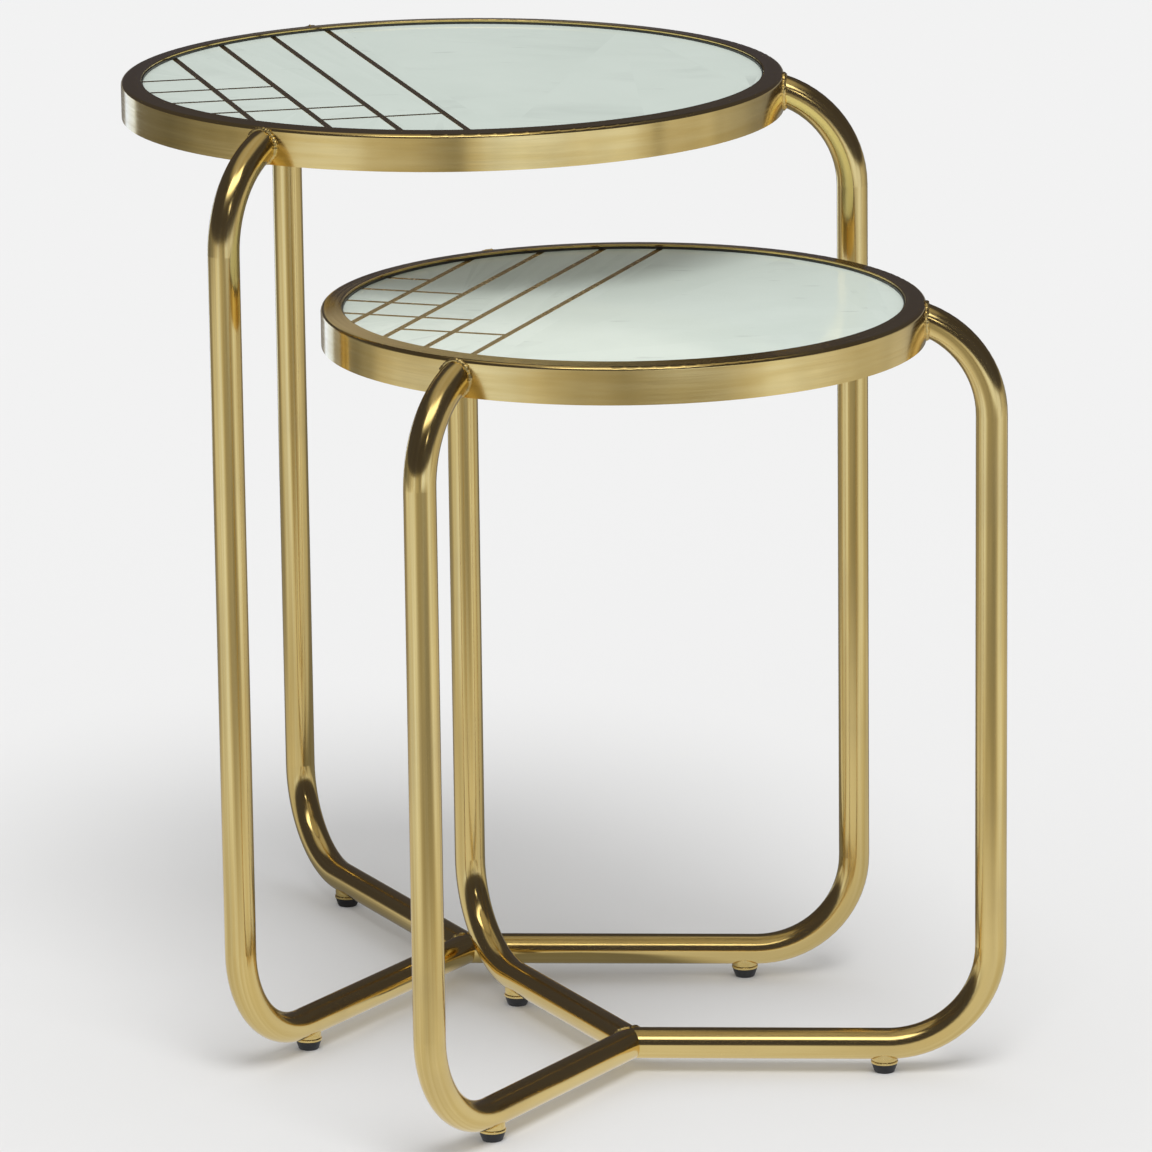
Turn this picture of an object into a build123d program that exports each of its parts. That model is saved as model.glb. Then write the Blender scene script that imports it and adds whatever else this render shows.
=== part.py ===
from build123d import *
from dataclasses import dataclass
from math import cos, radians, sin, sqrt
import os

# Two round tripod tables, the small one standing half under the large one.
# Millimetres, +Z up. The floor is Z = 0 and the origin is the middle of the box
# that holds both tables. Each table has a leg at 0, 120 and 240 degrees from +X.


@dataclass
class Table:
    """The sizes that make one table differ from the other."""

    name: str
    height: float          # floor to the inner edge of the rim, its highest line
    rim_radius: float      # outside of the rim's wall
    leg_radius: float      # table axis to the axis of an upright tube
    foot_radius: float     # table axis to the axis of a foot
    wide_turn: float       # degrees from +X of the line across the wide inlays
    fine_turn: float       # degrees from +X of the line along the fine inlays
    wide_shift: float      # how far all the wide inlays sit off their even places
    fine_shift: float      # the same for the fine inlays


large = Table(
    "large", 578, 203, leg_radius=244.5, foot_radius=175.5,
    wide_turn=17.9, fine_turn=15.7, wide_shift=3.0, fine_shift=-0.5,
)
small = Table(
    "small", 476, 178.5, leg_radius=217, foot_radius=153,
    wide_turn=-17.8, fine_turn=-15.1, wide_shift=-2.4, fine_shift=6.5,
)

# How the small table stands: its axis lies this far from the large table's axis.
nest_distance = 223.5
nest_direction = -60

# Tube legs
tube_radius = 9.5
tube_wall = 1.5
bend_radius = 62           # both bends, at the tube's axis
tube_room = 8              # floor to the underside of the flat run
joint_drop = 12            # rim's highest line to where the tube's axis meets the wall
leg_angles = {"right": 0, "rear": 120, "front": 240}
leg_spread = 120

# Rim
rim_height = 23
rim_wall = 3
flange_width = 12.5
flange_thickness = 3
flange_fall = 0.9          # the top face slopes down to the outside
rim_rounding = 2.4
rim_inner_break = 0.5

# Top
stone_recess = 2.7
stone_thickness = 6
stone_chamfer = 0.15
seal_width = 0.8           # between the stone's edge and the rim
seal_rise = 1.3            # above the stone
board_thickness = 9
board_clearance = 0.5
ring_width = 25
ring_thickness = 3

# Screws up through the support ring
screw_count = 6
screw_first_angle = 30
screw_radius = 2
screw_hole_clearance = 0.3
screw_length = 9
screw_head_radius = 3.6
screw_head_height = 2.2

# Inlays. Places are shares of the stone's radius: the wide ones left of the middle, then the
# fine ones from back to front, each with the first and last bay that it crosses.
inlay_width = 4
wide_inlay_shares = [-0.8, -0.6, -0.4, -0.2]
fine_inlays = [(0.2, 0, 0), (-0.005, 0, 1), (-0.21, 0, 1), (-0.42, 0, 2), (-0.625, 2, 3)]

# Welds
rim_bead = 1.8             # height and width of the bead round a tube's upper end
hub_bead_radius = 1.6
hub_bead_arc = 156         # degrees of the seam that each bead covers

# Levelling feet
bush_radius = 6
bush_top = 3               # above the tube's axis
collar_radius = 7.75
collar_bottom = 7.5
stud_radius = 3
stud_clearance = 0.05
stud_end_gap = 1
cup_radius = 8.2
cup_gap = 0.3              # between the cup and the collar
cup_height = 1.4
anchor_radius = 5
anchor_height = 2
pad_bottom_radius = 6
pad_top_radius = 8
pad_rounding = 0.8

# Worked out from the sizes above
tube_height = tube_room + tube_radius
tube_inner_radius = tube_radius - tube_wall
pad_height = collar_bottom - cup_gap - cup_height


def unit(angle):
    """Unit vector at an angle from +X on the floor."""
    return Vector(cos(radians(angle)), sin(radians(angle)), 0)


def reach(table):
    """Least X, most X, least Y and most Y of a table about its own axis."""
    side = table.leg_radius * sin(radians(leg_spread)) + tube_radius
    side = max(side, table.rim_radius)
    back = max(table.rim_radius, table.leg_radius / 2 + tube_radius)
    return -back, table.leg_radius + tube_radius, -side, side


def table_axes():
    """Both table axes, about the middle of the box that holds the tables."""
    step = unit(nest_direction) * nest_distance
    far = reach(large)
    near = reach(small)
    mid_x = (min(far[0], near[0] + step.X) + max(far[1], near[1] + step.X)) / 2
    mid_y = (min(far[2], near[2] + step.Y) + max(far[3], near[3] + step.Y)) / 2
    middle = Vector(mid_x, mid_y, 0)
    return {"large": Vector(0, 0, 0) - middle, "small": step - middle}


axes = table_axes()


def stone_radius(table):
    return table.rim_radius - flange_width - seal_width


def stone_top(table):
    return table.height - stone_recess


def board_top(table):
    return stone_top(table) - stone_thickness


def board_bottom(table):
    return board_top(table) - board_thickness


def level(table, height, turn=0):
    """Flat plane on a table's axis at a height above the floor."""
    return Plane(origin=axes[table.name] + Vector(0, 0, height), x_dir=unit(turn), z_dir=(0, 0, 1))


def upright(table, angle, height=0):
    """Plane through a table's axis: local X runs outwards, local Y runs up."""
    facing = unit(angle - 90)
    return Plane(origin=axes[table.name] + Vector(0, 0, height), x_dir=unit(angle), z_dir=facing)


def save(piece, table, label):
    piece.part.label = f"{table.name}_{label}"
    export_step(piece.part, f"parts/{piece.part.label}.step")


# Rim, support ring, board and screws


def make_rim(table):
    wall_bottom = table.height - rim_height
    outline = [
        (table.rim_radius, wall_bottom),
        (table.rim_radius, table.height - flange_fall),
        (table.rim_radius - flange_width, table.height),
        (table.rim_radius - flange_width, table.height - flange_thickness),
        (table.rim_radius - rim_wall, table.height - flange_thickness),
        (table.rim_radius - rim_wall, wall_bottom),
    ]
    with BuildPart() as rim:
        with BuildSketch(upright(table, 0)) as section:
            with BuildLine():
                Polyline(*outline, close=True)
            make_face()
            outer_corner = section.vertices().sort_by(Axis.Y)[-2]
            fillet(outer_corner, rim_rounding)
            inner_corner = section.vertices().sort_by(Axis.Y)[-1]
            fillet(inner_corner, rim_inner_break)
        revolve(axis=Axis(axes[table.name], (0, 0, 1)))
    save(rim, table, "rim")


def screw_spots(table):
    """Screws sit on a circle in the middle of the support ring's width."""
    return PolarLocations(table.rim_radius - rim_wall - ring_width / 2, screw_count, screw_first_angle)


def make_support_ring(table):
    with BuildPart() as ring:
        with BuildSketch(level(table, board_bottom(table))):
            Circle(table.rim_radius - rim_wall)
            Circle(table.rim_radius - rim_wall - ring_width, mode=Mode.SUBTRACT)
            with screw_spots(table):
                Circle(screw_radius + screw_hole_clearance, mode=Mode.SUBTRACT)
        extrude(amount=-ring_thickness)
    save(ring, table, "support_ring")


def make_backing_board(table):
    with BuildPart() as board:
        with BuildSketch(level(table, board_bottom(table))):
            Circle(table.rim_radius - rim_wall - board_clearance)
        extrude(amount=board_thickness)
        with BuildSketch(level(table, board_bottom(table))):
            with screw_spots(table):
                Circle(screw_radius)
        extrude(amount=screw_length - ring_thickness, mode=Mode.SUBTRACT)
    save(board, table, "backing_board")


def make_edge_seal(table):
    """A thin ring of black sealant between the stone's edge and the rim."""
    with BuildPart() as seal:
        with BuildSketch(level(table, board_top(table))):
            Circle(stone_radius(table) + seal_width)
            Circle(stone_radius(table), mode=Mode.SUBTRACT)
        extrude(amount=stone_thickness + seal_rise)
    save(seal, table, "edge_seal")


def make_top_screws(table):
    head_plane = level(table, board_bottom(table) - ring_thickness)
    with BuildPart() as screws:
        with BuildSketch(head_plane):
            with screw_spots(table):
                Circle(screw_radius)
        extrude(amount=screw_length)
        with BuildSketch(head_plane):
            with screw_spots(table):
                Circle(screw_head_radius)
        extrude(amount=-screw_head_height)
    save(screws, table, "top_screws")


# Stone and inlays. The wide inlays part the stone into bays, and the fine ones part a bay into tiles.


def wide_inlay_places(table):
    """How far each wide inlay's middle is from the table's axis, across the inlays."""
    return [share * stone_radius(table) + table.wide_shift for share in wide_inlay_shares]


def bay_edges(table):
    """Low and high edge of each bay, measured across the wide inlays."""
    radius = stone_radius(table)
    edges = []
    low = -radius
    for place in wide_inlay_places(table):
        edges.append((low, place - inlay_width / 2))
        low = place + inlay_width / 2
    edges.append((low, radius))
    return edges


def stone_plane(table):
    """The stone's underside, with local X running across the wide inlays."""
    return level(table, board_top(table), table.wide_turn)


def draw_bay(table, index):
    """Outline of one bay of the round top, in a sketch on the stone's plane."""
    radius = stone_radius(table)
    low, high = bay_edges(table)[index]
    Circle(radius)
    with Locations(((low + high) / 2, 0)):
        Rectangle(high - low, 2 * radius, mode=Mode.INTERSECT)


def draw_fine_bands(table, index, mode):
    """Every fine inlay that crosses a bay, as bands as long as the top is wide."""
    radius = stone_radius(table)
    turn = table.fine_turn - table.wide_turn
    across = unit(turn + 90)
    shares = [share for share, first, last in fine_inlays if first <= index <= last]
    places = [across * (share * radius + table.fine_shift) for share in shares]
    with Locations([Location(place, (0, 0, turn)) for place in places]):
        Rectangle(2 * radius, inlay_width, mode=mode)


def make_marble(table):
    field = len(wide_inlay_shares)
    for index in range(field + 1):
        with BuildPart() as marble:
            with BuildSketch(stone_plane(table)):
                draw_bay(table, index)
                if index < field:
                    draw_fine_bands(table, index, Mode.SUBTRACT)
            extrude(amount=stone_thickness)
            upper = marble.faces().group_by(Axis.Z)[-1]
            chamfer(upper.edges(), stone_chamfer)
        save(marble, table, "marble_field" if index == field else f"marble_strip_{index + 1}")


def make_wide_inlays(table):
    radius = stone_radius(table)
    with BuildPart() as inlays:
        with BuildSketch(stone_plane(table)):
            Circle(radius)
            with Locations([(place, 0) for place in wide_inlay_places(table)]):
                Rectangle(inlay_width, 2 * radius, mode=Mode.INTERSECT)
        extrude(amount=stone_thickness)
    save(inlays, table, "wide_inlays")


def make_fine_inlays(table):
    with BuildPart() as inlays:
        for index in range(len(wide_inlay_shares)):
            with BuildSketch(stone_plane(table)):
                draw_bay(table, index)
                draw_fine_bands(table, index, Mode.INTERSECT)
            extrude(amount=stone_thickness)
    save(inlays, table, "fine_inlays")


# Legs and their welds


def bend_centre_radius(table):
    """Table axis to the centre of both bends."""
    return table.leg_radius - bend_radius


def upper_bend_height(table):
    """Height of the upper bend's centre, so that the tube's axis meets the rim's wall at joint_drop.

    A wall further in than the bend's centre is met by the flat run after the bend.
    """
    out = max(table.rim_radius - bend_centre_radius(table), 0)
    return table.height - joint_drop - sqrt(bend_radius**2 - out**2)


def bar_along_leg(table, angle, radius):
    """A round bar along a leg's axis, from the hub to over the table's middle."""
    inner = bend_centre_radius(table)
    upper = upper_bend_height(table)
    with BuildPart() as bar:
        with BuildLine(upright(table, angle)) as route:
            Line((0, tube_height), (inner, tube_height))
            CenterArc((inner, tube_height + bend_radius), bend_radius, -90, 90)
            Line((table.leg_radius, tube_height + bend_radius), (table.leg_radius, upper))
            CenterArc((inner, upper), bend_radius, 0, 90)
            Line((inner, upper + bend_radius), (0, upper + bend_radius))
        with BuildSketch(upright(table, angle + 90, tube_height)):
            Circle(radius)
        sweep(path=route.wire())
    return bar.part


def make_leg(table, name, angle):
    """The bar is bored out, cut to the rim's wall, mitred at the hub and drilled for its bush."""
    wedge = 2 * table.leg_radius
    with BuildPart() as leg:
        add(bar_along_leg(table, angle, tube_radius))
        add(bar_along_leg(table, angle, tube_inner_radius), mode=Mode.SUBTRACT)
        with BuildSketch(level(table, table.height - 2 * rim_height)):
            Circle(table.rim_radius)
        extrude(amount=4 * rim_height, mode=Mode.SUBTRACT)
        with BuildSketch(level(table, 0, angle)):
            with BuildLine():
                half = wedge * sqrt(3)
                Polyline((0, 0), (wedge, -half), (wedge, half), close=True)
            make_face()
        extrude(amount=table.height, mode=Mode.INTERSECT)
        with BuildSketch(level(table, 0, angle)):
            with Locations((table.foot_radius, 0)):
                Circle(bush_radius)
        extrude(amount=tube_height, mode=Mode.SUBTRACT)
    save(leg, table, f"leg_{name}")


def make_rim_welds(table):
    """A collar of weld round the end of each tube, where it stands on the rim's wall."""
    with BuildPart() as welds:
        for angle in leg_angles.values():
            add(bar_along_leg(table, angle, tube_radius + rim_bead))
        with BuildSketch(level(table, table.height - 2 * rim_height)):
            Circle(table.rim_radius + rim_bead)
            Circle(table.rim_radius, mode=Mode.SUBTRACT)
        extrude(amount=3 * rim_height, mode=Mode.INTERSECT)
        for angle in leg_angles.values():
            add(bar_along_leg(table, angle, tube_radius), mode=Mode.SUBTRACT)
    save(welds, table, "rim_welds")


def make_hub_weld(table):
    """A bead down both sides of the rear tube, along its mitres."""
    seam_width = tube_radius / sin(radians(leg_spread / 2))
    with BuildPart() as weld:
        for side in (-leg_spread / 2, leg_spread / 2):
            with BuildLine(upright(table, leg_angles["rear"] + side, tube_height)) as seam:
                half = hub_bead_arc / 2
                EllipticalCenterArc((0, 0), seam_width, tube_radius, start_angle=-half, arc_size=2 * half)
            with BuildSketch(Plane(origin=seam.line @ 0, z_dir=seam.line % 0)):
                Circle(hub_bead_radius)
            sweep(path=seam.wire())
        for angle in leg_angles.values():
            add(bar_along_leg(table, angle, tube_radius), mode=Mode.SUBTRACT)
    save(weld, table, "hub_weld")


# Levelling feet


def foot_plane(table, angle, height):
    """Flat plane on a foot's axis."""
    plane = level(table, height, angle)
    plane.origin = plane.origin + unit(angle) * table.foot_radius
    return plane


def make_foot_bushes(table):
    """Threaded bushes through the tubes' undersides, each with a collar shaped to its tube."""
    with BuildPart() as bushes:
        for angle in leg_angles.values():
            with BuildSketch(foot_plane(table, angle, collar_bottom)):
                Circle(collar_radius)
            extrude(amount=tube_height - collar_bottom)
        for angle in leg_angles.values():
            add(bar_along_leg(table, angle, tube_radius), mode=Mode.SUBTRACT)
        for angle in leg_angles.values():
            with BuildSketch(foot_plane(table, angle, collar_bottom)):
                Circle(bush_radius)
            extrude(amount=tube_height + bush_top - collar_bottom)
            with BuildSketch(foot_plane(table, angle, collar_bottom)):
                Circle(stud_radius + stud_clearance)
            extrude(amount=tube_height + bush_top - collar_bottom, mode=Mode.SUBTRACT)
    save(bushes, table, "foot_bushes")


def make_stud(table, name, angle):
    """A stud with a cup that caps the pad and an anchor that the pad is moulded round."""
    cup_top = pad_height + cup_height
    anchor_bottom = pad_height - anchor_height
    stud_top = tube_height + bush_top - stud_end_gap
    with BuildPart() as stud:
        with BuildSketch(foot_plane(table, angle, anchor_bottom)):
            Circle(anchor_radius)
        extrude(amount=anchor_height)
        with BuildSketch(foot_plane(table, angle, pad_height)):
            Circle(cup_radius)
        extrude(amount=cup_height)
        cup_rim = stud.edges().filter_by(GeomType.CIRCLE).group_by(Axis.Z)[-1]
        fillet(cup_rim, cup_height / 3)
        with BuildSketch(foot_plane(table, angle, cup_top)):
            Circle(stud_radius)
        extrude(amount=stud_top - cup_top)
    save(stud, table, f"stud_{name}")


def make_pad(table, name, angle):
    """A tapered pad with a pocket for the stud's anchor."""
    with BuildPart() as pad:
        with BuildSketch(foot_plane(table, angle, 0)):
            Circle(pad_bottom_radius)
        with BuildSketch(foot_plane(table, angle, pad_height)):
            Circle(pad_top_radius)
        loft()
        fillet(pad.edges().group_by(Axis.Z)[0], pad_rounding)
        with BuildSketch(foot_plane(table, angle, pad_height)):
            Circle(anchor_radius)
        extrude(amount=-anchor_height, mode=Mode.SUBTRACT)
    save(pad, table, f"pad_{name}")


def make_table(table):
    make_rim(table)
    make_support_ring(table)
    make_backing_board(table)
    make_edge_seal(table)
    make_top_screws(table)
    make_marble(table)
    make_wide_inlays(table)
    make_fine_inlays(table)
    make_rim_welds(table)
    make_hub_weld(table)
    make_foot_bushes(table)
    for name, angle in leg_angles.items():
        make_leg(table, name, angle)
        make_stud(table, name, angle)
        make_pad(table, name, angle)


os.makedirs("parts", exist_ok=True)
make_table(large)
make_table(small)
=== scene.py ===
import math
import random

import bpy
from mathutils import Matrix, Vector, noise


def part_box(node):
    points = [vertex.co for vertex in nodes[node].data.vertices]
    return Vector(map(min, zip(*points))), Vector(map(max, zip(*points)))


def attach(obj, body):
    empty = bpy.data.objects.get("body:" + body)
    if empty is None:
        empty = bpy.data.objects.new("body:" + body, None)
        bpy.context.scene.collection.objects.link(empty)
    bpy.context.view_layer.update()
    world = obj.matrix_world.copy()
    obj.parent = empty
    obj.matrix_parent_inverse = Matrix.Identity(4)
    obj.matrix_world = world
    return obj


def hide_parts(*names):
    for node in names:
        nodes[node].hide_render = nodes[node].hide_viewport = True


# The nesting tables' looks: brass, stone, rubber and weld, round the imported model. Metres.

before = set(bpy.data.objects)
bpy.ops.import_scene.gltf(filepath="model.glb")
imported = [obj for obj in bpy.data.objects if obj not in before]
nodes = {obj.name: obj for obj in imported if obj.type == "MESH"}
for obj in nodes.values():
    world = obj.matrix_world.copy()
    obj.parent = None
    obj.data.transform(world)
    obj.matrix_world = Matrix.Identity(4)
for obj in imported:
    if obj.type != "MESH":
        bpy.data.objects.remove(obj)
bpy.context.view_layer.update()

TABLES = ("large", "small")
LEG_ANGLES = {"right": 0, "rear": 120, "front": 240}
STRIP_COUNT = 4

# Sizes of the bent tubes that the model's boxes don't give
BEND_RADIUS = 0.062
JOINT_DROP = 0.012

# The rounding of the rim's outer corner, and how far its centre lies below the rim's highest line
RIM_ROUNDING = 0.0024
ROUNDING_DROP = 0.0031


# Small helpers for building a material's nodes


class Graph:
    """A material's node tree with short calls for the nodes used here."""

    def __init__(self, name):
        self.material = bpy.data.materials.new(name)
        self.material.use_nodes = True
        self.tree = self.material.node_tree
        self.shader = self.tree.nodes["Principled BSDF"]

    def feed(self, socket, value):
        """Link an output to a socket, or set the socket's own value."""
        if isinstance(value, bpy.types.NodeSocket):
            self.tree.links.new(value, socket)
        else:
            socket.default_value = value

    def node(self, kind, inputs, **settings):
        made = self.tree.nodes.new(kind)
        for key, value in settings.items():
            setattr(made, key, value)
        for key, value in inputs.items():
            self.feed(made.inputs[key], value)
        return made

    def surface(self, **values):
        """Set the shader's sockets; a name's underscores stand for spaces."""
        for key, value in values.items():
            self.feed(self.shader.inputs[key.replace("_", " ")], value)

    def place(self):
        return self.node("ShaderNodeTexCoord", {}).outputs["Object"]

    def facing(self):
        return self.node("ShaderNodeTexCoord", {}).outputs["Normal"]

    def split(self, vector):
        parts = self.node("ShaderNodeSeparateXYZ", {0: vector}).outputs
        return parts[0], parts[1], parts[2]

    def join(self, x, y, z):
        return self.node("ShaderNodeCombineXYZ", {0: x, 1: y, 2: z}).outputs[0]

    def calc(self, operation, a, b=0.0):
        return self.node("ShaderNodeMath", {0: a, 1: b}, operation=operation).outputs[0]

    def dot(self, vector, direction):
        made = self.node("ShaderNodeVectorMath", {0: vector, 1: direction}, operation="DOT_PRODUCT")
        return made.outputs["Value"]

    def scaled(self, vector, by):
        return self.node("ShaderNodeVectorMath", {0: vector, 1: by}, operation="MULTIPLY").outputs[0]

    def shifted(self, vector, by):
        return self.node("ShaderNodeVectorMath", {0: vector, 1: by}, operation="ADD").outputs[0]

    def noise(self, vector, scale, detail=2.0, roughness=0.5, distortion=0.0):
        """Places are in metres, so a scale of 100 gives lumps about 10 mm apart."""
        inputs = {"Vector": vector, "Scale": scale, "Detail": detail}
        inputs.update({"Roughness": roughness, "Distortion": distortion})
        return self.node("ShaderNodeTexNoise", inputs).outputs["Fac"]

    def stretch(self, value, low, high, new_low=0.0, new_high=1.0):
        inputs = {0: value, 1: low, 2: high, 3: new_low, 4: new_high}
        return self.node("ShaderNodeMapRange", inputs, interpolation_type="SMOOTHSTEP").outputs[0]

    def mix(self, factor, a, b):
        made = self.node("ShaderNodeMix", {}, data_type="RGBA")
        self.feed(made.inputs[0], factor)
        self.feed(made.inputs[6], a)
        self.feed(made.inputs[7], b)
        return made.outputs[2]

    def bump(self, height, distance, under=None):
        inputs = {"Height": height, "Distance": distance}
        if under is not None:
            inputs["Normal"] = under
        return self.node("ShaderNodeBump", inputs).outputs["Normal"]


# Brass

BRASS_LIGHT = (0.88, 0.67, 0.27, 1.0)
BRASS_DEEP = (0.80, 0.58, 0.20, 1.0)
BRASS_DULL = (0.62, 0.46, 0.20, 1.0)

# Lumps a metre of the uneven polish and of the plate's grain, and the grain's relief
POLISH_CLOUDS = 14.0
PLATE_GRAIN = 900.0
GRAIN_DEPTH = 0.0000015

# Polishing lines: how many, and how fast they change along their length
TUBE_LINES = 26.0
TUBE_LINE_CHANGE = 5.0
RIM_LINES = 900.0
RIM_LINE_CHANGE = 2.5


def satin_brass(g, lines, roughness=0.13, depth=0.000003, dull=0.3, skin=None):
    """Colour, gloss and relief of satin brass plate; its polishing lines keep to equal values of lines."""
    fine = g.noise(lines, 1.0, detail=3.0, roughness=0.65)
    broad = g.noise(g.scaled(lines, (0.2, 1.0, 1.0)), 1.0)
    cloud = g.noise(g.place(), POLISH_CLOUDS, detail=4.0)
    speck = g.noise(g.place(), PLATE_GRAIN)
    tone = g.mix(g.stretch(broad, 0.3, 0.7), BRASS_DEEP, BRASS_LIGHT)
    worn = g.calc("MULTIPLY", g.stretch(cloud, 0.48, 0.75), dull)
    rough = g.calc("ADD", roughness, g.stretch(fine, 0.3, 0.75, -0.03, 0.06))
    rough = g.calc("ADD", rough, g.stretch(cloud, 0.4, 0.8, 0.0, 0.07))
    relief = g.bump(speck, GRAIN_DEPTH, under=g.bump(fine, depth, under=skin))
    g.surface(Base_Color=g.mix(worn, tone, BRASS_DULL), Metallic=1.0, Roughness=rough, Normal=relief)
    return g.material


def tube_material(angle):
    """Polishing lines run along a tube that is bent in the upright plane at this angle."""
    turn = math.radians(angle)
    out = (math.cos(turn), math.sin(turn), 0.0)
    side = (-math.sin(turn), math.cos(turn), 0.0)
    g = Graph(f"brass_tube_{angle}")
    around = g.dot(g.facing(), side)
    along = g.calc("ADD", g.dot(g.place(), out), g.split(g.place())[2])
    across = g.calc("MULTIPLY", around, TUBE_LINES)
    return satin_brass(g, g.join(across, g.calc("MULTIPLY", along, TUBE_LINE_CHANGE), 0.0))


def rounded_normal(g, x, y, z, radius, rim_radius, rim_top):
    """The mesh's own normal, but a true round one on the rim's outer corner."""
    out = g.calc("SUBTRACT", radius, rim_radius - RIM_ROUNDING)
    up = g.calc("SUBTRACT", z, rim_top - ROUNDING_DROP)
    slope = g.calc("DIVIDE", out, radius)
    arrow = g.join(g.calc("MULTIPLY", x, slope), g.calc("MULTIPLY", y, slope), up)
    curved = g.node("ShaderNodeVectorMath", {0: arrow}, operation="NORMALIZE").outputs[0]
    corner = g.calc("MULTIPLY", g.calc("GREATER_THAN", out, 0.0), g.calc("GREATER_THAN", up, 0.0))
    return g.mix(corner, g.node("ShaderNodeNewGeometry", {}).outputs["Normal"], curved)


def rim_material(table):
    """Polishing lines run round the rim, on its wall and on its top face."""
    low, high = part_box(f"{table}_rim")
    centre = (Vector(low) + Vector(high)) / 2
    g = Graph(f"brass_rim_{table}")
    x, y, z = g.split(g.shifted(g.place(), (-centre.x, -centre.y, 0.0)))
    radius = g.calc("SQRT", g.calc("ADD", g.calc("MULTIPLY", x, x), g.calc("MULTIPLY", y, y)))
    across = g.calc("MULTIPLY", g.calc("ADD", radius, z), RIM_LINES)
    turn = g.calc("ARCTAN2", y, x)
    change = g.calc("MULTIPLY", g.calc("COSINE", turn), RIM_LINE_CHANGE)
    lines = g.join(across, change, g.calc("SINE", turn))
    skin = rounded_normal(g, x, y, z, radius, high[0] - centre.x, high[2])
    return satin_brass(g, lines, roughness=0.12, skin=skin)


def plain_brass(name, roughness, depth, dull, fineness):
    """Brass with no polishing direction: castings, weld, inlays and small turned parts."""
    g = Graph(name)
    lines = g.scaled(g.place(), (fineness, fineness, fineness))
    return satin_brass(g, lines, roughness, depth, dull)


# Stone


STONE_PALE = (0.83, 0.92, 0.84, 1.0)
STONE_CLOUD = (0.77, 0.86, 0.78, 1.0)
STONE_GREY = (0.60, 0.67, 0.61, 1.0)
STONE_VEIN = (0.36, 0.40, 0.37, 1.0)


def marble_material():
    """Polished greenish-white marble: soft clouds, a few grey drifts, faint veins and small dashes."""
    g = Graph("marble")
    place = g.place()
    island = g.node("ShaderNodeNewGeometry", {}).outputs["Random Per Island"]
    offset = g.join(g.calc("MULTIPLY", island, 3.1), g.calc("MULTIPLY", island, 1.7), island)
    vector = g.shifted(place, offset)
    bedded = g.scaled(vector, (0.45, 1.0, 1.0))
    cloud = g.noise(vector, 6.0, detail=6.0, roughness=0.6, distortion=0.5)
    drift = g.noise(bedded, 9.0, detail=5.0, roughness=0.6, distortion=0.8)
    patch = g.noise(vector, 3.5, detail=2.0)
    ridge = g.calc("ABSOLUTE", g.calc("SUBTRACT", g.noise(bedded, 6.0, 6.0, 0.55, 1.4), 0.5))
    vein = g.calc("MULTIPLY", g.stretch(ridge, 0.0, 0.02, 1.0, 0.0), g.stretch(patch, 0.52, 0.70))
    dash = g.stretch(g.noise(g.scaled(vector, (0.3, 1.0, 1.0)), 95.0, detail=2.0), 0.68, 0.78)
    grain = g.noise(place, 800.0)
    body = g.mix(g.stretch(cloud, 0.35, 0.70), STONE_PALE, STONE_CLOUD)
    body = g.mix(g.stretch(drift, 0.56, 0.78, 0.0, 0.55), body, STONE_GREY)
    body = g.mix(g.calc("MULTIPLY", vein, 0.22), body, STONE_VEIN)
    body = g.mix(g.calc("MULTIPLY", dash, 0.30), body, STONE_VEIN)
    body = g.mix(g.stretch(grain, 0.3, 0.7, 0.0, 0.05), body, STONE_GREY)
    body = g.mix(g.stretch(island, 0.0, 1.0, 0.0, 0.25), body, STONE_CLOUD)
    rough = g.stretch(cloud, 0.3, 0.8, 0.07, 0.12)
    g.surface(Base_Color=body, Roughness=rough, Normal=g.bump(patch, 0.00001), IOR=1.5)
    return g.material


# Rubber, the dark edge strip, board and inner steel: the two tones that each is mixed from

RUBBER_CLEAN = (0.012, 0.012, 0.011, 1.0)
RUBBER_DUSTY = (0.035, 0.034, 0.031, 1.0)
SEAL_DARK = (0.016, 0.015, 0.012, 1.0)
SEAL_PALE = (0.032, 0.030, 0.024, 1.0)
BOARD_DARK = (0.44, 0.40, 0.33, 1.0)
BOARD_PALE = (0.56, 0.52, 0.44, 1.0)
BOARD_STAIN = (0.36, 0.32, 0.26, 1.0)
STEEL_DARK = (0.23, 0.22, 0.21, 1.0)
STEEL_PALE = (0.36, 0.35, 0.34, 1.0)

def rubber_material():
    g = Graph("foot_rubber")
    grain = g.noise(g.place(), 1500.0, detail=3.0)
    dust = g.noise(g.place(), 120.0, detail=4.0)
    tone = g.mix(g.stretch(dust, 0.45, 0.8), RUBBER_CLEAN, RUBBER_DUSTY)
    rough = g.stretch(dust, 0.3, 0.8, 0.5, 0.7)
    g.surface(Base_Color=tone, Roughness=rough, Normal=g.bump(grain, 0.00003))
    return g.material


def seal_material():
    """Near-black and a little glossy, with a lumpy relief, beside the stone."""
    g = Graph("edge_dark_strip")
    lump = g.noise(g.place(), 240.0, detail=3.0)
    tone = g.mix(g.stretch(lump, 0.3, 0.8), SEAL_DARK, SEAL_PALE)
    rough = g.stretch(lump, 0.3, 0.8, 0.3, 0.5)
    g.surface(Base_Color=tone, Roughness=rough, Normal=g.bump(lump, 0.0001))
    return g.material


def board_material():
    """Fibreboard, painted pale on the face that shows from below."""
    g = Graph("fibreboard")
    fibre = g.noise(g.place(), 700.0, detail=4.0, roughness=0.7)
    blotch = g.noise(g.place(), 12.0, detail=3.0)
    tone = g.mix(g.stretch(fibre, 0.3, 0.7), BOARD_DARK, BOARD_PALE)
    tone = g.mix(g.stretch(blotch, 0.4, 0.8, 0.0, 0.3), tone, BOARD_STAIN)
    g.surface(Base_Color=tone, Roughness=0.75, Normal=g.bump(fibre, 0.00008))
    return g.material


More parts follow.
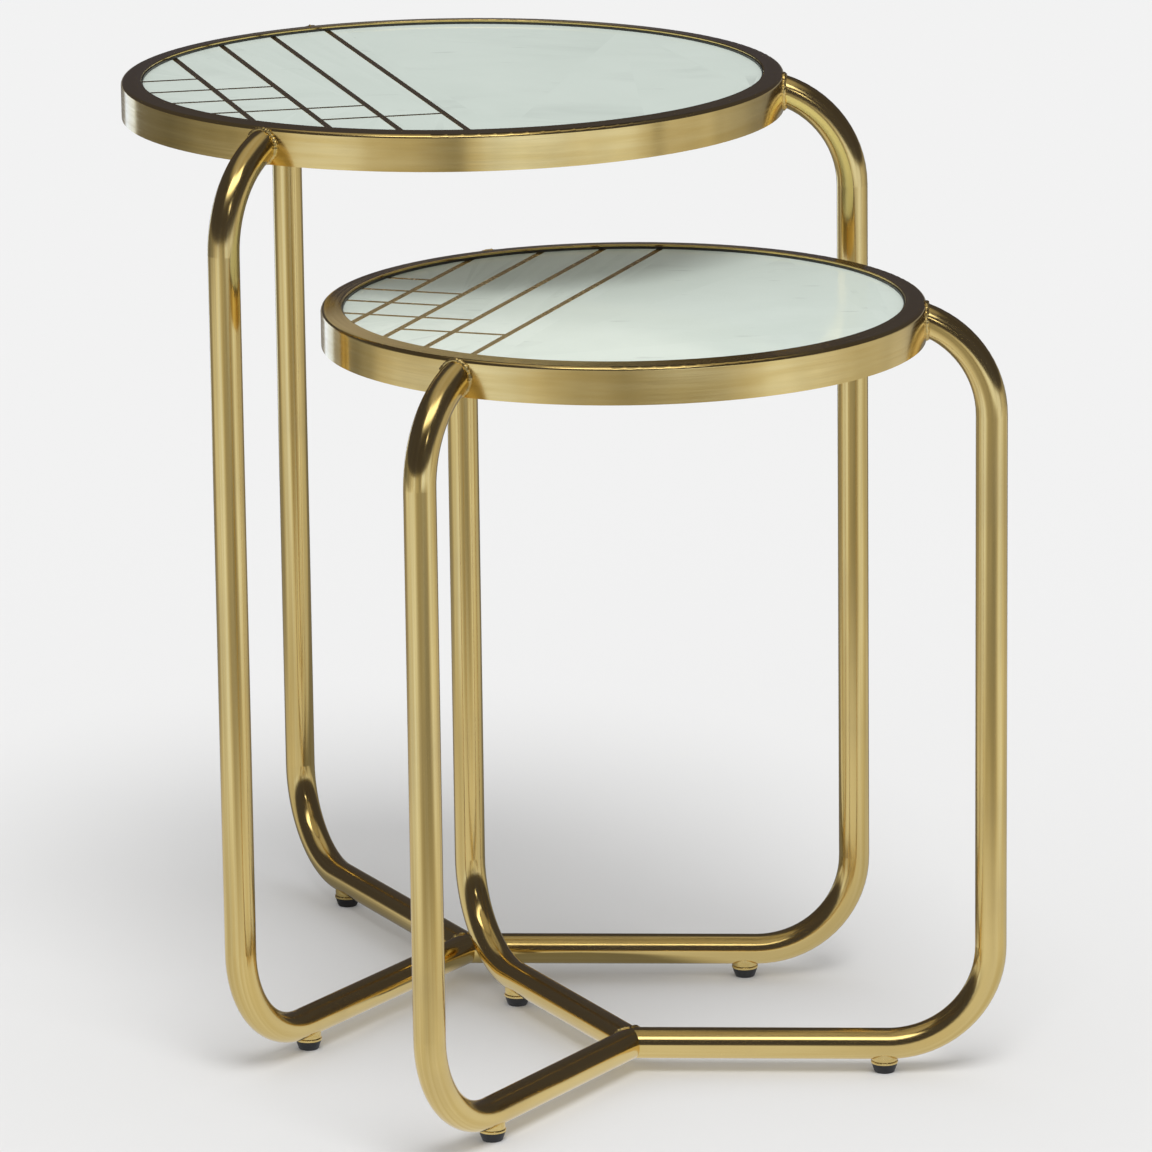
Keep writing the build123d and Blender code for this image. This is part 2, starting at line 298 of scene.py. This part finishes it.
def steel_material():
    g = Graph("inner_steel")
    scale = g.noise(g.place(), 60.0, detail=5.0, roughness=0.6)
    grain = g.noise(g.place(), 800.0, detail=2.0)
    tone = g.mix(g.stretch(scale, 0.35, 0.7), STEEL_DARK, STEEL_PALE)
    rough = g.stretch(scale, 0.3, 0.8, 0.38, 0.6)
    g.surface(Base_Color=tone, Metallic=1.0, Roughness=rough, Normal=g.bump(grain, 0.00001))
    return g.material


# Weld beads, laid as lumpy cords of metal along the real seams

BEAD_SIDES = 14
BEAD_STEP = 0.0004
RIPPLE_LENGTH = 0.0019
RIPPLE_SHARE = 0.16        # of the bead's radius, as are the swell and the lumps
SWELL_SHARE = 0.42
SWELL_FINENESS = 260
LUMP_SHARE = 0.32
LUMP_FINENESS = 900

# Half the angle between two flat tubes, and how far round a tube a hub bead reaches, up or down
HUB_HALF_ANGLE = 60
HUB_BEAD_REACH = 86


def bead_mesh(name, path, radius, closed, seed):
    """A lumpy tube along a path: overlapping ripples of uneven size, as a weld leaves them."""
    draw = random.Random(seed)
    shift = Vector((draw.uniform(0, 50), draw.uniform(0, 50), draw.uniform(0, 50)))
    count = len(path)
    points = []
    travelled = 0.0
    for index, centre in enumerate(path):
        before = path[index - 1] if index or closed else centre
        after = path[(index + 1) % count] if index < count - 1 or closed else centre
        travelled += (centre - before).length if index else 0.0
        ahead = (after - before).normalized()
        across = ahead.orthogonal().normalized()
        over = ahead.cross(across)
        ripple = abs(math.sin(math.pi * travelled / RIPPLE_LENGTH))
        swell = 1.0 - RIPPLE_SHARE + RIPPLE_SHARE * ripple
        swell += SWELL_SHARE * noise.noise(centre * SWELL_FINENESS + shift)
        fade = 1.0 if closed else min(1.0, 0.35 + 5.0 * min(index, count - 1 - index) / count)
        for side in range(BEAD_SIDES):
            turn = 2 * math.pi * side / BEAD_SIDES
            out = across * math.cos(turn) + over * math.sin(turn)
            lump = 1.0 + LUMP_SHARE * noise.noise((centre + out * radius) * LUMP_FINENESS + shift)
            points.append(centre + out * radius * swell * fade * lump)
    faces = []
    for index in range(count if closed else count - 1):
        here = index * BEAD_SIDES
        there = (index + 1) % count * BEAD_SIDES
        for side in range(BEAD_SIDES):
            after = (side + 1) % BEAD_SIDES
            faces.append((here + side, here + after, there + after, there + side))
    if not closed:
        faces.append(tuple(reversed(range(BEAD_SIDES))))
        faces.append(tuple(range((count - 1) * BEAD_SIDES, count * BEAD_SIDES)))
    mesh = bpy.data.meshes.new(name)
    mesh.from_pydata(points, [], faces)
    mesh.shade_smooth()
    return mesh


def new_piece(name, mesh, material, body):
    piece = bpy.data.objects.new(name, mesh)
    bpy.context.collection.objects.link(piece)
    mesh.materials.append(material)
    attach(piece, body)
    return piece


def table_sizes(table):
    """The axis, rim and leg sizes of a table, read from the model's boxes."""
    rim_low, rim_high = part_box(f"{table}_rim")
    leg_low, leg_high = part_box(f"{table}_leg_right")
    centre = (Vector(rim_low) + Vector(rim_high)) / 2
    tube = (leg_high[1] - leg_low[1]) / 2
    return {
        "axis": Vector((centre.x, centre.y, 0.0)),
        "top": rim_high[2],
        "rim": (rim_high[0] - rim_low[0]) / 2,
        "tube": tube,
        "leg": leg_high[0] - centre.x - tube,
        "floor_run": leg_low[2] + tube,
    }


def rim_seam(sizes, angle, steps):
    """Where a bent tube's skin meets the rim's wall."""
    turn = math.radians(angle)
    out = Vector((math.cos(turn), math.sin(turn), 0.0))
    side = Vector((-math.sin(turn), math.cos(turn), 0.0))
    bend = sizes["leg"] - BEND_RADIUS
    reach = sizes["rim"] - bend
    height = sizes["top"] - JOINT_DROP - math.sqrt(BEND_RADIUS**2 - reach**2)
    path = []
    for step in range(steps):
        around = 2 * math.pi * step / steps
        sideways = sizes["tube"] * math.sin(around)
        skin = BEND_RADIUS + sizes["tube"] * math.cos(around)
        outwards = math.sqrt(sizes["rim"] ** 2 - sideways**2)
        rise = math.sqrt(skin**2 - (outwards - bend) ** 2)
        path.append(sizes["axis"] + out * outwards + side * sideways + Vector((0, 0, height + rise)))
    return path


def hub_seam(sizes, angle, steps):
    """The mitre between two flat tubes, from under the hub round to its top."""
    turn = math.radians(angle)
    out = Vector((math.cos(turn), math.sin(turn), 0.0))
    width = sizes["tube"] / math.sin(math.radians(HUB_HALF_ANGLE))
    middle = sizes["axis"] + Vector((0, 0, sizes["floor_run"]))
    path = []
    for step in range(steps):
        around = math.radians(HUB_BEAD_REACH * (2 * step / (steps - 1) - 1))
        rise = Vector((0, 0, sizes["tube"] * math.sin(around)))
        path.append(middle + out * width * math.cos(around) + rise)
    return path


RIM_BEAD = 0.0017
HUB_BEAD = 0.0015
HUB_SEED = 7


def make_welds(table, material):
    sizes = table_sizes(table)
    body = f"{table}_table"
    steps = int(2 * math.pi * sizes["tube"] / BEAD_STEP)
    for seed, (name, angle) in enumerate(LEG_ANGLES.items()):
        seam = rim_seam(sizes, angle, steps)
        mesh = bead_mesh(f"{table}_rim_bead_{name}", seam, RIM_BEAD, True, seed)
        bead = new_piece(mesh.name, mesh, material, body)
        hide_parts(f"{table}_rim_welds")
    for seed, side in enumerate(("right", "left")):
        angle = LEG_ANGLES["rear"] + (-HUB_HALF_ANGLE if side == "right" else HUB_HALF_ANGLE)
        seam = hub_seam(sizes, angle, steps // 2)
        mesh = bead_mesh(f"{table}_hub_bead_{side}", seam, HUB_BEAD, False, HUB_SEED + seed)
        bead = new_piece(mesh.name, mesh, material, body)
        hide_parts(f"{table}_hub_weld")


# The stage: floor, studio surround, sun and camera


FLOOR_HALF = 60.0
FLOOR_TONE = (0.75, 0.75, 0.75, 1.0)
BLACK = (0.0, 0.0, 0.0, 1.0)
CARD_HEIGHT = 0.0004
# Size of the patches of brighter and dimmer glow in the painted reflection
REFLECTION_PATCHES = 1.3         # a metre

# Distances from the middle between which one band of the painted reflection gives way to the next, and
# where the painted bright band starts
NEAR_TO_MIDDLE = (0.35, 1.1)
MIDDLE_TO_FAR = (2.4, 2.9)
BRIGHT_BAND_FROM = (1.5, 1.9)

# Painted reflection: how bright the floor looks in the metal, near to the tables, further out and far
# away, by the angle round from the front in degrees, where right is positive
NEAR_SHEEN = [(-180, 0.20), (-145, 0.20), (-125, 0.60), (125, 0.60), (145, 0.20), (180, 0.20)]
MIDDLE_SHEEN = [
    (-180, 0.20), (-131, 0.30), (-114, 0.25), (-104, 0.36), (-95, 0.54), (-86, 0.68), (-60, 0.74),
    (-45, 0.82), (-38, 0.80), (-32, 0.68), (-26, 0.57), (-20, 0.49), (-9, 0.42), (0, 0.38), (8, 0.34),
    (14, 0.31), (32, 0.30), (37, 0.34), (44, 0.47), (50, 0.62), (56, 0.74), (76, 0.68), (91, 0.59),
    (100, 0.52), (119, 0.52), (131, 0.48), (146, 0.20), (180, 0.20),
]
FAR_SHEEN = [
    (-180, 0.25), (-131, 0.18), (-102, 0.16), (-93, 0.23), (-77, 0.28), (-60, 0.45), (-50, 0.68),
    (-31, 0.72), (-25, 0.57), (-13, 0.54), (-7, 0.46), (-2, 0.34), (4, 0.25), (10, 0.58), (15, 0.78),
    (21, 0.90), (38, 0.86), (45, 0.76), (57, 0.78), (66, 0.75), (73, 0.60), (78, 0.32), (82, 0.55),
    (101, 0.53), (110, 0.43), (120, 0.37), (132, 0.27), (180, 0.25),
]
SHEEN_COOL = (1.0, 1.13, 1.50, 1.0)     # tint of the brightest sheen
NEUTRAL = (1.0, 1.0, 1.0, 1.0)

# A bright band painted into the reflection, behind the tables on the left: from and to which angle, and
# its light
BRIGHT_BAND_LEFT = -152
BRIGHT_BAND_RIGHT = -137
BRIGHT_BAND_EDGE = 2
BRIGHT_BAND_LIGHT = (0.96, 1.03, 1.12, 1.0)


def make_sheet(name, height, material):
    """A square of floor far wider than any view."""
    mesh = bpy.data.meshes.new(name)
    corners = [(-1, -1), (1, -1), (1, 1), (-1, 1)]
    mesh.from_pydata([(x * FLOOR_HALF, y * FLOOR_HALF, height) for x, y in corners], [], [(0, 1, 2, 3)])
    mesh.materials.append(material)
    sheet = bpy.data.objects.new(name, mesh)
    bpy.context.collection.objects.link(sheet)
    return sheet


def ramp(tree, source, stops):
    """A smooth colour ramp through (position, grey or colour) stops."""
    made = tree.nodes.new("ShaderNodeValToRGB")
    made.color_ramp.interpolation = "EASE"
    while len(made.color_ramp.elements) < len(stops):
        made.color_ramp.elements.new(0.5)
    for element, (position, value) in zip(made.color_ramp.elements, stops):
        element.position = position
        element.color = (*value, 1.0) if isinstance(value, tuple) else (value, value, value, 1.0)
    tree.links.new(source, made.inputs[0])
    return made.outputs[0]


def make_floor():
    """A plain pale floor, and over it a glowing card that paints the floor's reflection: an uneven sheen
    that only reflections see.
    """
    g = Graph("floor_paper")
    g.surface(Base_Color=FLOOR_TONE, Roughness=1.0, Specular_IOR_Level=0.0)
    make_sheet("floor", 0.0, g.material)

    g = Graph("painted_floor_reflection")
    x, y, _ = g.split(g.place())
    turn = g.calc("ARCTAN2", x, g.calc("MULTIPLY", y, -1.0))
    share = g.calc("ADD", g.calc("DIVIDE", turn, 2 * math.pi), 0.5)
    near, middle, far = [
        ramp(g.tree, share, [((angle + 180) / 360, value) for angle, value in stops])
        for stops in (NEAR_SHEEN, MIDDLE_SHEEN, FAR_SHEEN)
    ]
    distance = g.calc("SQRT", g.calc("ADD", g.calc("MULTIPLY", x, x), g.calc("MULTIPLY", y, y)))
    sheen = g.mix(g.stretch(distance, *NEAR_TO_MIDDLE), near, middle)
    sheen = g.mix(g.stretch(distance, *MIDDLE_TO_FAR), sheen, far)
    left, right = [
        [math.radians(angle - BRIGHT_BAND_EDGE), math.radians(angle + BRIGHT_BAND_EDGE)]
        for angle in (BRIGHT_BAND_LEFT, BRIGHT_BAND_RIGHT)
    ]
    # Painted reflection: a bright band behind the tables on the left, laid over the sheen
    board = g.calc("MULTIPLY", g.stretch(turn, *left), g.stretch(turn, *right, 1.0, 0.0))
    board = g.calc("MULTIPLY", board, g.stretch(distance, *BRIGHT_BAND_FROM))
    sheen = g.mix(board, sheen, BRIGHT_BAND_LIGHT)
    sheen = g.scaled(sheen, g.mix(g.stretch(sheen, 0.5, 0.9), NEUTRAL, SHEEN_COOL))
    reflection_patches = g.stretch(g.noise(g.place(), REFLECTION_PATCHES), 0.3, 0.7, 0.82, 1.15)
    g.surface(Base_Color=BLACK, Specular_IOR_Level=0.0)
    g.surface(Emission_Color=sheen, Emission_Strength=reflection_patches)
    # A glowing sheet that paints reflections: the camera, diffuse light and shadows don't see it
    card = make_sheet("painted_floor_reflection", CARD_HEIGHT, g.material)
    card.visible_camera = False
    card.visible_diffuse = False
    card.visible_shadow = False
    card.visible_transmission = False


PALE = (0.888, 0.888, 0.888, 1.0)       # the backdrop, as the camera sees it
SKY_LIGHT = (0.78, 0.78, 0.78, 1.0)     # even light on the stone and the floor
SOFTBOX = (1.0, 0.99, 0.95, 1.0)

# What the metal sees, by the sine of the angle up from the floor
ROOM = [
    (0.0, (0.30, 0.28, 0.25)),
    (0.05, (0.058, 0.055, 0.070)),
    (0.78, (0.058, 0.055, 0.070)),
    (0.93, (0.42, 0.40, 0.37)),
]

# Lit panels: left, right, low and high angle, softness of the edge, power
PANELS = [
    (-34, 40, 44, 62, 4, 2.4),
    (18, 23, 24, 29, 1, 4.0),
]


def make_studio():
    """Even light for the eye and the stone; the metal sees a dark room, a soft box and a ceiling."""
    world = bpy.data.worlds.new("studio")
    bpy.context.scene.world = world
    world.use_nodes = True
    world.cycles.sampling_method = "NONE"
    tree = world.node_tree
    tree.nodes.clear()

    def node(kind, inputs, **settings):
        made = tree.nodes.new(kind)
        for key, value in settings.items():
            setattr(made, key, value)
        for key, value in inputs.items():
            if isinstance(value, bpy.types.NodeSocket):
                tree.links.new(value, made.inputs[key])
            else:
                made.inputs[key].default_value = value
        return made

    def glow(colour, strength=1.0):
        return node("ShaderNodeBackground", {"Color": colour, "Strength": strength}).outputs[0]

    def between(value, low, high, new_low=0.0, new_high=1.0):
        inputs = {0: value, 1: low, 2: high, 3: new_low, 4: new_high}
        return node("ShaderNodeMapRange", inputs, interpolation_type="SMOOTHSTEP").outputs[0]

    def times(a, b):
        return node("ShaderNodeMath", {0: a, 1: b}, operation="MULTIPLY").outputs[0]

    direction = node("ShaderNodeTexCoord", {}).outputs["Generated"]
    x, y, z = node("ShaderNodeSeparateXYZ", {0: direction}).outputs
    room = ramp(tree, z, ROOM)
    turn = node("ShaderNodeMath", {0: x, 1: times(y, -1.0)}, operation="ARCTAN2").outputs[0]

    def panel(left, right, low, high, edge):
        """One where a lit panel hangs: angles in degrees round from the front and up from the floor."""
        foot, head = [
            [math.sin(math.radians(angle - edge)), math.sin(math.radians(angle + edge))]
            for angle in (low, high)
        ]
        start, end = [
            [math.radians(angle - edge), math.radians(angle + edge)]
            for angle in (left, right)
        ]
        rise = times(between(z, *foot), between(z, *head, 1.0, 0.0))
        spread = times(between(turn, *start), between(turn, *end, 1.0, 0.0))
        return times(rise, spread)

    lit = glow(room)
    for left, right, low, high, edge, power in PANELS:
        where = panel(left, right, low, high, edge)
        lit = node("ShaderNodeMixShader", {0: where, 1: lit, 2: glow(SOFTBOX, power)}).outputs[0]
    path = node("ShaderNodeLightPath", {})
    even = glow(SKY_LIGHT)
    seen = glow(PALE)
    rays = node("ShaderNodeMixShader", {0: path.outputs["Is Glossy Ray"], 1: even, 2: lit}).outputs[0]
    rays = node("ShaderNodeMixShader", {0: path.outputs["Is Camera Ray"], 1: rays, 2: seen}).outputs[0]
    node("ShaderNodeOutputWorld", {0: rays})


SUN_TILT = 28
SUN_TURN = 14
SUN_SPREAD = 30
SUN_POWER = 1.44


def make_sun():
    """The soft box's light on the stone and the floor: the metal sees the box itself instead."""
    lamp = bpy.data.lights.new("sun", "SUN")
    lamp.energy = SUN_POWER
    lamp.angle = math.radians(SUN_SPREAD)
    holder = bpy.data.objects.new("sun", lamp)
    holder.rotation_euler = (math.radians(SUN_TILT), 0.0, math.radians(SUN_TURN))
    holder.visible_glossy = False
    bpy.context.collection.objects.link(holder)


CAMERA_SENSOR = 36.0        # millimetres, as is the lens
CAMERA_LENS = 226.2
CAMERA_PLACE = (0.2274, -4.2818, 1.3595)
CAMERA_TURN = 2.925
CAMERA_DOWN = 14.118
CAMERA_ROLL = -0.717


def make_camera():
    """The main view: a long lens from the front, looking down on the tops."""
    lens = bpy.data.cameras.new("camera")
    lens.sensor_width = CAMERA_SENSOR
    lens.lens = CAMERA_LENS
    camera = bpy.data.objects.new("camera", lens)
    camera.location = CAMERA_PLACE
    turn = Matrix.Rotation(math.radians(CAMERA_TURN), 4, "Z")
    tilt = Matrix.Rotation(math.radians(90 - CAMERA_DOWN), 4, "X")
    roll = Matrix.Rotation(math.radians(CAMERA_ROLL), 4, "Z")
    camera.rotation_euler = (turn @ tilt @ roll).to_euler()
    bpy.context.collection.objects.link(camera)
    bpy.context.scene.camera = camera


# Putting it together


def dress(node, material):
    for place in nodes[node].material_slots:
        place.material = material


tubes = {name: tube_material(angle) for name, angle in LEG_ANGLES.items()}
marble = marble_material()
inlay_brass = plain_brass("brass_inlay", roughness=0.22, depth=0.000003, dull=0.3, fineness=300.0)
foot_brass = plain_brass("brass_foot", roughness=0.24, depth=0.000006, dull=0.4, fineness=400.0)
weld_brass = plain_brass("brass_weld", roughness=0.30, depth=0.00002, dull=0.7, fineness=500.0)
rubber = rubber_material()
seal = seal_material()
board = board_material()
steel = steel_material()

for table in TABLES:
    dress(f"{table}_rim", rim_material(table))
    dress(f"{table}_support_ring", steel)
    dress(f"{table}_top_screws", steel)
    dress(f"{table}_backing_board", board)
    dress(f"{table}_edge_seal", seal)
    dress(f"{table}_wide_inlays", inlay_brass)
    dress(f"{table}_fine_inlays", inlay_brass)
    dress(f"{table}_marble_field", marble)
    for index in range(1, STRIP_COUNT + 1):
        dress(f"{table}_marble_strip_{index}", marble)
    dress(f"{table}_rim_welds", weld_brass)
    dress(f"{table}_hub_weld", weld_brass)
    dress(f"{table}_foot_bushes", foot_brass)
    for name in LEG_ANGLES:
        dress(f"{table}_leg_{name}", tubes[name])
        dress(f"{table}_stud_{name}", foot_brass)
        dress(f"{table}_pad_{name}", rubber)
    make_welds(table, weld_brass)

make_floor()
make_studio()
make_sun()
make_camera()

bpy.context.scene.view_settings.view_transform = "Standard"
